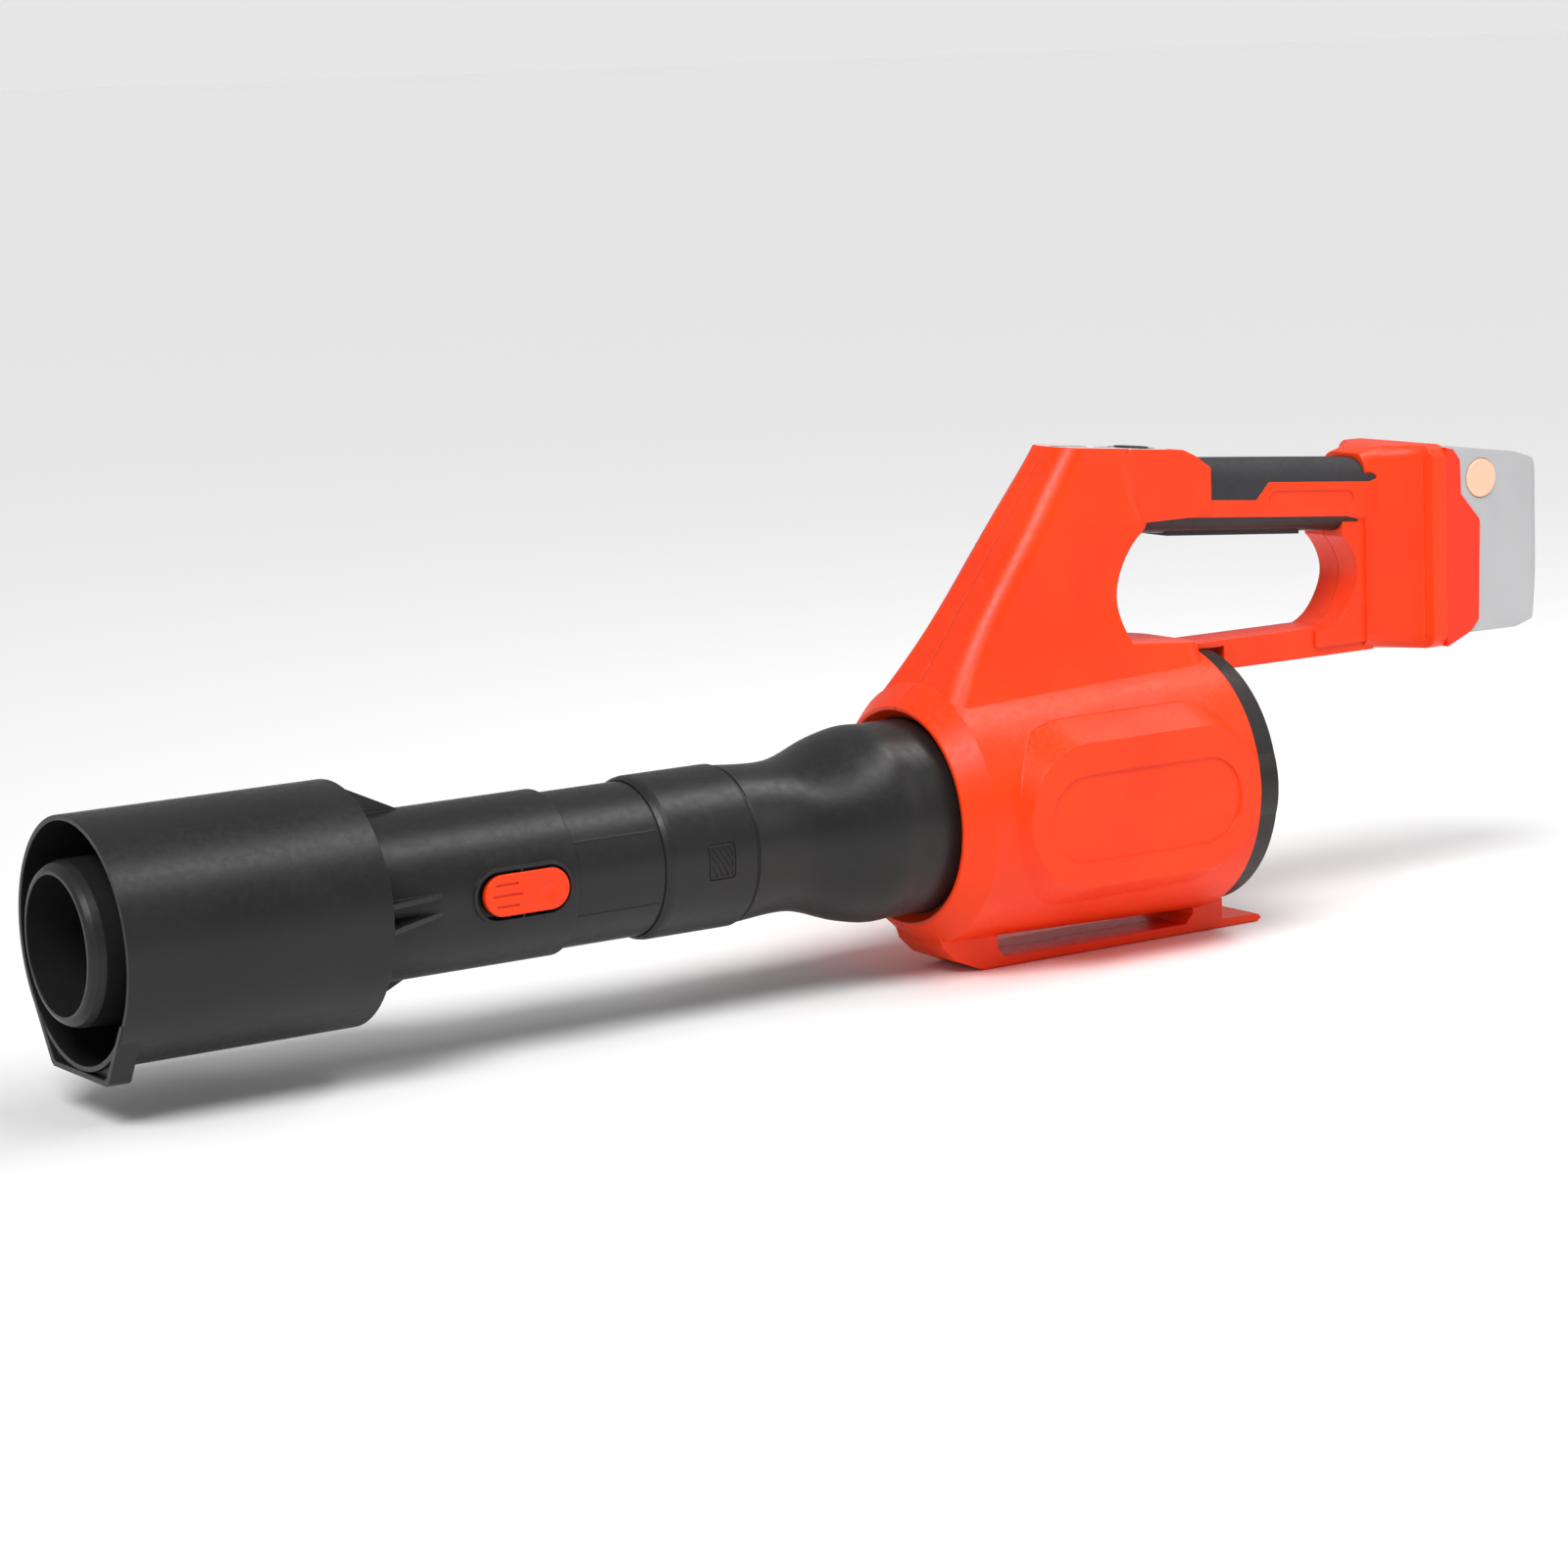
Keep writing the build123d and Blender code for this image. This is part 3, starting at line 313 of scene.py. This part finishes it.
# ---------------------------------------------------------------- finishes
@dataclass(frozen=True)
class Finish:
    """A finish of one material slot, with its relief, gloss variation, edge wear and dust."""

    slot: str
    colour: Colour
    shade: Colour
    worn: Colour
    roughness: float = 0.4
    gloss_drift: float = 0.08
    metallic: float = 0.0
    pattern: Pattern = Pattern.SATIN
    grain_scale: float = 1800.0
    relief: float = 0.12
    edge_radius: float = 0.0008
    wear: float = 0.35
    dust: float = 0.06
    specular: float = 0.5
    coat: float = 0.0
    glow: float = 0.0

    def material(self) -> bpy.types.Material:
        """Builds the finish's material.

        Returns:
            The new node-based material.
        """
        made = bpy.data.materials.new(self.slot)
        made.use_nodes = True
        tree = made.node_tree
        shader = tree.nodes["Principled BSDF"]
        shader.inputs["Metallic"].default_value = self.metallic
        shader.inputs["Specular IOR Level"].default_value = self.specular
        shader.inputs["Coat Weight"].default_value = self.coat
        shader.inputs["Coat Roughness"].default_value = COAT_ROUGHNESS
        edges = self.effect(tree, Effect.EDGES, {"Radius": self.edge_radius, "Wear": self.wear})
        dust = self.effect(tree, Effect.DUST, {"Amount": self.dust})
        clouds = self.effect(tree, Effect.CLOUDS, {"Scale": CLOUD_SCALE})
        grain = self.effect(tree, Effect.GRAIN, {"Scale": self.grain_scale,
                                                 "Coarse": self.grain_scale / COARSER_BY})
        base = mix_colour(tree, clouds.outputs["Mask"], self.colour, self.shade)
        base = mix_colour(tree, edges.outputs["Mask"], base, self.worn)
        base = mix_colour(tree, dust.outputs["Mask"], base, DUST_COLOUR)
        tree.links.new(base, shader.inputs["Base Color"])
        drift = math_node(tree, "MULTIPLY_ADD", grain.outputs["Mask"], self.gloss_drift)
        drift.node.inputs[2].default_value = self.roughness
        tree.links.new(math_node(tree, "ADD", drift, dust.outputs["Mask"], True), shader.inputs["Roughness"])
        bump = add_node(tree, "ShaderNodeBump", {"Strength": self.relief, "Distance": RELIEF_DEPTH})
        tree.links.new(self.height(tree, grain), bump.inputs["Height"])
        tree.links.new(edges.outputs["Normal"], bump.inputs["Normal"])
        tree.links.new(bump.outputs[0], shader.inputs["Normal"])
        if self.glow:
            shader.inputs["Emission Strength"].default_value = self.glow
            tree.links.new(base, shader.inputs["Emission Color"])
        return made

    def effect(self, tree: Tree, effect: Effect, values: dict[str, float]) -> bpy.types.Node:
        """Places a shared effect in the material.

        Args:
            tree: The material's tree.
            effect: The effect to place.
            values: This finish's own values for its inputs.

        Returns:
            The group's node.
        """
        return add_node(tree, "ShaderNodeGroup", values, node_tree=EFFECTS.get(effect))

    def height(self, tree: Tree, grain: bpy.types.Node) -> object:
        """Chooses the relief's height.

        Args:
            tree: The material's tree.
            grain: The placed grain group.

        Returns:
            The height's output socket.
        """
        if self.pattern is Pattern.LEATHER:
            cells = add_node(tree, "ShaderNodeTexVoronoi", {"Scale": self.grain_scale * PEBBLE_SCALE},
                             feature="DISTANCE_TO_EDGE")
            tree.links.new(object_place(tree), cells.inputs["Vector"])
            pebble = ramp(tree, cells.outputs["Distance"], 0.0, PEBBLE_EDGE)
            fine = math_node(tree, "MULTIPLY", grain.outputs["Height"], PEBBLE_GRAIN)
            return math_node(tree, "ADD", pebble, fine)
        if self.pattern is Pattern.TURNED:
            rings = add_node(tree, "ShaderNodeTexWave",
                             {"Scale": LATHE_SCALE, "Distortion": 0.4, "Detail": 2.0},
                             wave_type="BANDS", bands_direction="X")
            tree.links.new(object_place(tree), rings.inputs["Vector"])
            return rings.outputs["Fac"]
        return grain.outputs["Height"]


FINISHES = [
    Finish("orange_shell", (0.93, 0.047, 0.001), (0.86, 0.038, 0.001), (1.0, 0.080, 0.008),
           roughness=0.33, relief=0.10, specular=0.30, edge_radius=0.0014),
    Finish("red_frame", (1.0, 0.030, 0.004), (0.92, 0.025, 0.004), (1.0, 0.09, 0.03),
           roughness=0.38, relief=0.10, specular=0.34),
    Finish("black_tube", (0.013, 0.0125, 0.0125), (0.017, 0.0165, 0.0165), (0.05, 0.049, 0.048),
           roughness=0.31, relief=0.16, specular=0.31, dust=0.01, wear=0.12),
    Finish("black_trim", (0.013, 0.011, 0.010), (0.017, 0.014, 0.013), (0.05, 0.046, 0.042),
           roughness=0.40, relief=0.14, specular=0.4, dust=0.03, wear=0.12),
    Finish("soft_grip", (0.024, 0.024, 0.026), (0.030, 0.030, 0.033), (0.05, 0.05, 0.053),
           roughness=0.62, relief=0.5, pattern=Pattern.LEATHER, grain_scale=1500, specular=0.35, wear=0.2),
    Finish("pale_panel", (0.80, 0.80, 0.79), (0.74, 0.74, 0.73), (0.6, 0.6, 0.6),
           roughness=0.28, relief=0.03, coat=0.4, wear=0.1),
    Finish("battery_grey", (0.46, 0.46, 0.47), (0.42, 0.42, 0.43), (0.60, 0.60, 0.60),
           roughness=0.46, relief=0.14, edge_radius=0.001),
    Finish("battery_button", (1.0, 0.56, 0.38), (0.95, 0.51, 0.35), (1.0, 0.7, 0.6),
           roughness=0.4, relief=0.1),
    Finish("steel", (0.56, 0.56, 0.57), (0.48, 0.48, 0.5), (0.75, 0.75, 0.75), roughness=0.24,
           metallic=1.0, pattern=Pattern.TURNED, relief=0.12, edge_radius=0.0003),
    Finish("core_steel", (0.27, 0.27, 0.28), (0.22, 0.22, 0.23), (0.5, 0.5, 0.5), roughness=0.42,
           metallic=1.0, pattern=Pattern.TURNED, relief=0.4, edge_radius=0.0003),
    Finish("copper", (0.80, 0.33, 0.14), (0.68, 0.26, 0.11), (0.9, 0.5, 0.3), roughness=0.26,
           metallic=1.0, pattern=Pattern.TURNED, relief=0.5, edge_radius=0.0004),
    Finish("aluminium", (0.74, 0.74, 0.76), (0.66, 0.66, 0.68), (0.85, 0.85, 0.85), roughness=0.34,
           metallic=1.0, relief=0.08, edge_radius=0.0003),
    Finish("board_green", (0.012, 0.10, 0.045), (0.010, 0.085, 0.036), (0.05, 0.2, 0.1),
           roughness=0.3, relief=0.1, coat=0.3, edge_radius=0.0003),
    Finish("seal_rubber", (0.022, 0.022, 0.023), (0.028, 0.028, 0.03), (0.05, 0.05, 0.05),
           roughness=0.68, relief=0.2, specular=0.3),
    Finish("fan_plastic", (0.045, 0.045, 0.048), (0.052, 0.052, 0.056), (0.11, 0.11, 0.11),
           roughness=0.36, relief=0.1),
    Finish("wire_red", (0.42, 0.012, 0.012), (0.36, 0.01, 0.01), (0.5, 0.1, 0.1), roughness=0.4,
           relief=0.08),
    Finish("cell_metal", (0.10, 0.28, 0.44), (0.08, 0.24, 0.38), (0.4, 0.5, 0.6), roughness=0.3,
           relief=0.06, coat=0.3),
    Finish("lamp", (0.10, 0.55, 0.20), (0.08, 0.48, 0.17), (0.3, 0.7, 0.4), roughness=0.18,
           relief=0.02, coat=0.6, glow=0.15),
    Finish("print_dark", (0.020, 0.020, 0.022), (0.026, 0.026, 0.028), (0.07, 0.07, 0.07),
           roughness=0.22, relief=0.03, coat=0.4, wear=0.1, edge_radius=0.0002),
]


@dataclass
class Paint:
    """The finishes' materials by slot."""

    materials: dict[str, bpy.types.Material] = field(default_factory=dict)

    def mix_all(self) -> None:
        """Builds every finish's material."""
        for finish in FINISHES:
            self.materials[finish.slot] = finish.material()
            log.info("mixed %s", finish.slot)

    def dress(self, obj: bpy.types.Object, slot: str) -> None:
        """Puts one finish on a whole piece.

        Args:
            obj: The piece.
            slot: The finish's slot.
        """
        obj.data.materials.clear()
        obj.data.materials.append(self.materials[slot])
        obj.data.polygons.foreach_set("material_index", [0] * len(obj.data.polygons))


# ---------------------------------------------------------------- sub-assemblies
@dataclass
class SubAssembly:
    """A group of CAD nodes that one class dresses, with the details added on them."""

    paint: Paint
    finishes: dict[str, str] = field(default_factory=dict)

    def build(self) -> None:
        """Dresses the nodes, then adds the details."""
        for node, slot in self.finishes.items():
            self.paint.dress(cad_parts[node], slot)
            log.info("dressed %s in %s", node, slot)
        self.details()

    def details(self) -> None:
        """Adds nothing, unless the sub-assembly has details of its own."""

    def piece(self, name: str, mesh: bmesh.types.BMesh, slot: str, body: str) -> bpy.types.Object:
        """Turns a finished mesh into a piece that rides on a body.

        Args:
            name: The piece's name.
            mesh: The mesh, which is freed.
            slot: The slot of its finish.
            body: The body that it moves with.

        Returns:
            The new object.
        """
        data = bpy.data.meshes.new(name)
        bmesh.ops.recalc_face_normals(mesh, faces=mesh.faces)
        mesh.to_mesh(data)
        mesh.free()
        obj = bpy.data.objects.new(name, data)
        bpy.context.scene.collection.objects.link(obj)
        data.materials.append(self.paint.materials[slot])
        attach(obj, body)
        log.info("made %s on %s", name, body)
        return obj


@dataclass
class Nozzle(SubAssembly):
    """The nozzle with its shroud, and the button that releases it."""

    finishes: dict[str, str] = field(default_factory=lambda: {
        "nozzle": "black_tube", "latch_button": "orange_shell", "latch_pin": "black_trim"})


@dataclass
class Tubes(SubAssembly):
    """The two air tubes and the seal in the housing's mouth."""

    finishes: dict[str, str] = field(default_factory=lambda: {
        "front_tube": "black_tube", "rear_tube": "black_tube", "tube_seal": "seal_rubber"})


@dataclass
class Housing(SubAssembly):
    """The two shells, their screws, and the grille behind the fan."""

    finishes: dict[str, str] = field(default_factory=lambda: {
        "housing_left": "orange_shell", "housing_right": "orange_shell", "housing_screws": "steel",
        "intake_grille": "black_trim"})


@dataclass
class Handle(SubAssembly):
    """The grip's soft cover and trim, the trigger, and the panel in front of the grip."""

    finishes: dict[str, str] = field(default_factory=lambda: {
        "grip_cover": "soft_grip", "grip_trim": "black_trim", "trigger": "black_trim",
        "trigger_pin": "steel", "trigger_switch": "black_trim", "control_panel": "pale_panel",
        "boost_button": "black_trim", "charge_lights": "lamp"})
    slope: float = 0.0921
    panel_thick: float = 1.5 * MM
    ink: float = 0.12 * MM
    button_ring: tuple[float, float] = (9.9 * MM, 12.6 * MM)
    button_along: float = 19.0 * MM
    window_along: float = -22.0 * MM
    window_half: tuple[float, float] = (11.6 * MM, 3.6 * MM)
    window_line: float = 0.7 * MM
    bars: int = 4
    bar_wide: float = 1.3 * MM
    bar_first: float = 2.4 * MM
    bar_growth: float = 1.3 * MM
    bars_along: float = -5.2 * MM
    bar_step: float = 2.6 * MM

    def details(self) -> None:
        """Prints the panel's marks: a ring round the button, a frame round the lamps, and a level scale."""
        low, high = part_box("control_panel")
        run = Vector((1.0, 0.0, -self.slope)).normalized()
        normal = Vector((self.slope, 0.0, 1.0)).normalized()
        axes = Matrix((run, (0.0, 1.0, 0.0), normal)).transposed().to_4x4()
        face = Matrix.Translation((low + high) / 2 + normal * self.panel_thick / 2) @ axes
        mesh = bmesh.new()
        inner, outer = self.button_ring
        self.band(mesh, self.button_along, self.loop(inner, inner, inner), self.loop(outer, outer, outer))
        long, high_half = self.window_half
        line = self.window_line
        self.band(mesh, self.window_along, self.loop(long - line, high_half - line, high_half - line),
                  self.loop(long, high_half, high_half))
        for index in range(self.bars):
            tall = self.bar_first + self.bar_growth * index
            place = Vector((self.bars_along + self.bar_step * index, 0.0, self.ink / 2))
            size = Matrix.Diagonal((self.bar_wide, tall, self.ink, 1.0))
            bmesh.ops.create_cube(mesh, size=1.0, matrix=Matrix.Translation(place) @ size)
        bmesh.ops.transform(mesh, matrix=face, verts=mesh.verts)
        self.piece("panel_marks", mesh, "print_dark", "housing")

    def loop(self, long: float, high: float, corner: float, steps: int = 16) -> list[Vector]:
        """Gives a round-cornered outline about the origin.

        Args:
            long: Half of its length.
            high: Half of its height.
            corner: Radius of its corners.
            steps: Points on each corner.

        Returns:
            The outline's points, in order.
        """
        points = []
        for quarter in range(4):
            way_x = 1 if quarter in (0, 3) else -1
            way_y = 1 if quarter in (0, 1) else -1
            centre = Vector((way_x * (long - corner), way_y * (high - corner), 0.0))
            for step in range(steps):
                angle = radians(90 * (quarter + step / (steps - 1)))
                points.append(centre + corner * Vector((cos(angle), sin(angle), 0.0)))
        return points

    def band(self, mesh: bmesh.types.BMesh, along: float, inner: list[Vector], outer: list[Vector]) -> None:
        """Adds a flat closed band between two outlines.

        Args:
            mesh: The mesh that takes the band.
            along: The band's place along the panel.
            inner: The inner outline.
            outer: The outer outline, with as many points.
        """
        shift = Vector((along, 0.0, 0.0))
        rings = [[mesh.verts.new(point + shift + Vector((0.0, 0.0, lift))) for point in outline]
                 for lift, outline in ((0.0, inner), (self.ink, inner), (self.ink, outer), (0.0, outer))]
        for index, ring in enumerate(rings):
            following = rings[(index + 1) % len(rings)]
            for point, vertex in enumerate(ring):
                after = (point + 1) % len(ring)
                mesh.faces.new((vertex, ring[after], following[after], following[point]))


@dataclass
class FanUnit(SubAssembly):
    """The fan, its duct and the motor inside it."""

    finishes: dict[str, str] = field(default_factory=lambda: {
        "fan_duct": "fan_plastic", "duct_cushions": "seal_rubber", "duct_tail_cone": "fan_plastic",
        "fan_impeller": "fan_plastic", "impeller_nut": "steel", "motor_core": "core_steel",
        "motor_windings": "copper", "motor_end_plate": "aluminium", "motor_front_plate": "aluminium",
        "motor_bearings": "steel", "motor_rotor": "core_steel", "motor_shaft": "steel"})


@dataclass
class Electronics(SubAssembly):
    """The controller in the tower and the leads to the battery's contacts."""

    finishes: dict[str, str] = field(default_factory=lambda: {
        "controller_board": "board_green", "board_capacitors": "aluminium",
        "board_heat_sink": "aluminium", "battery_leads": "wire_red", "terminal_block": "black_trim",
        "terminal_blades": "steel"})


@dataclass
class Battery(SubAssembly):
    """The battery pack, its release buttons, and the socket that holds it."""

    finishes: dict[str, str] = field(default_factory=lambda: {
        "battery_socket": "red_frame", "battery_case": "battery_grey", "battery_stem": "battery_grey",
        "battery_contacts": "steel", "battery_cells": "cell_metal", "battery_board": "board_green",
        "battery_release_left": "battery_button", "battery_release_right": "battery_button"})


# ---------------------------------------------------------------- studio
@dataclass(frozen=True)
class SoftLight:
    """A rectangular soft light: its place, its length and width, and its power in watts."""

    name: str
    place: tuple[float, float, float]
    size: tuple[float, float]
    power: float


@dataclass
class Studio:
    """A pale floor, soft lights and the camera."""

    floor_size: float = 400.0
    horizon: float = 0.80
    ceiling: float = 0.36
    main_power: float = 2.1
    main_from: tuple[float, float, float] = (-0.62, -0.5, 1.0)
    floor_drop: float = 0.0004
    floor_tones: tuple[Colour, Colour] = ((0.90, 0.90, 0.90), (0.94, 0.94, 0.94))
    lights: tuple[SoftLight, ...] = (
        SoftLight("overhead_strip", (0.45, -0.4, 1.3), (2.0, 0.28), 11.0),
        SoftLight("rear_softbox", (1.5, -0.9, 0.9), (0.9, 0.9), 3.0),
    )
    aim: tuple[float, float, float] = (0.0, 0.0, 0.12)
    horizon_band: tuple[float, float] = (0.014, 0.12)
    main_spread: float = 28.0
    lens: float = 100.62
    sensor: float = 36.0
    place: tuple[float, float, float] = (-1.2272, -1.8011, 0.4671)
    azimuth: float = 33.37
    elevation: float = -9.36
    roll: float = -2.13

    def build(self) -> None:
        """Lays the floor, hangs the lights and sets the camera."""
        self.floor()
        self.world()
        self.sun()
        for soft_light in self.lights:
            self.hang(soft_light)
        self.camera()

    def floor(self) -> None:
        """Lays the pale floor just under the foot."""
        mesh = bmesh.new()
        bmesh.ops.create_grid(mesh, x_segments=1, y_segments=1, size=self.floor_size / 2)
        data = bpy.data.meshes.new("floor")
        mesh.to_mesh(data)
        mesh.free()
        obj = bpy.data.objects.new("floor", data)
        obj.location.z = -self.floor_drop
        bpy.context.scene.collection.objects.link(obj)
        made = bpy.data.materials.new("pale_floor")
        made.use_nodes = True
        tree = made.node_tree
        shader = tree.nodes["Principled BSDF"]
        mottle = add_node(tree, "ShaderNodeTexNoise", {"Scale": 6.0, "Detail": 3.0})
        tree.links.new(mix_colour(tree, mottle.outputs[0], *self.floor_tones),
                       shader.inputs["Base Color"])
        shader.inputs["Roughness"].default_value = 0.75
        shader.inputs["Specular IOR Level"].default_value = 0.2
        data.materials.append(made)

    def world(self) -> None:
        """Fills the room with white light, which is stronger near the horizon than overhead."""
        made = bpy.data.worlds.new("studio_white")
        made.use_nodes = True
        tree = made.node_tree
        way = add_node(tree, "ShaderNodeSeparateXYZ")
        tree.links.new(add_node(tree, "ShaderNodeTexCoord").outputs["Generated"], way.inputs[0])
        strength = ramp(tree, way.outputs["Z"], *self.horizon_band, self.horizon, self.ceiling)
        tree.links.new(strength, tree.nodes["Background"].inputs["Strength"])
        tree.nodes["Background"].inputs["Color"].default_value = (1.0, 1.0, 1.0, 1.0)
        bpy.context.scene.world = made
        bpy.context.scene.view_settings.view_transform = "Standard"

    def sun(self) -> None:
        """Adds the broad main light, which falls evenly from the upper left."""
        data = bpy.data.lights.new("main_light", "SUN")
        data.energy = self.main_power
        data.angle = radians(self.main_spread)
        obj = bpy.data.objects.new("main_light", data)
        obj.rotation_euler = (-Vector(self.main_from)).to_track_quat("-Z", "Y").to_euler()
        bpy.context.scene.collection.objects.link(obj)

    def hang(self, soft_light: SoftLight) -> None:
        """Hangs a soft light that faces the tool.

        Args:
            soft_light: The light to hang.
        """
        data = bpy.data.lights.new(soft_light.name, "AREA")
        data.shape = "RECTANGLE"
        data.size, data.size_y = soft_light.size
        data.energy = soft_light.power
        obj = bpy.data.objects.new(soft_light.name, data)
        obj.location = soft_light.place
        facing = Vector(self.aim) - Vector(soft_light.place)
        obj.rotation_euler = facing.to_track_quat("-Z", "Y").to_euler()
        bpy.context.scene.collection.objects.link(obj)

    def camera(self) -> None:
        """Sets the camera at its bearing, tilt and roll."""
        around, up_angle, lean = radians(self.azimuth), radians(self.elevation), radians(self.roll)
        forward = Vector((sin(around) * cos(up_angle), cos(around) * cos(up_angle), sin(up_angle)))
        level = Vector((cos(around), -sin(around), 0.0))
        upright = level.cross(forward)
        right = level * cos(lean) + upright * sin(lean)
        top = upright * cos(lean) - level * sin(lean)
        data = bpy.data.cameras.new("camera")
        data.lens = self.lens
        data.sensor_width = self.sensor
        data.clip_start = 0.05
        data.clip_end = 1000.0
        obj = bpy.data.objects.new("camera", data)
        bpy.context.scene.collection.objects.link(obj)
        turn = Matrix((right, top, -forward)).transposed().to_4x4()
        obj.matrix_world = Matrix.Translation(self.place) @ turn
        bpy.context.scene.camera = obj


def main() -> None:
    """Mixes the finishes, dresses every sub-assembly and sets the studio."""
    logging.basicConfig(level=logging.INFO, format="%(name)s: %(message)s")
    paint = Paint()
    paint.mix_all()
    for kind in (Nozzle, Tubes, Housing, Handle, FanUnit, Electronics, Battery):
        kind(paint).build()
        log.info("%s is done", kind.__name__)
    Studio().build()


if __name__ == "__main__":
    main()
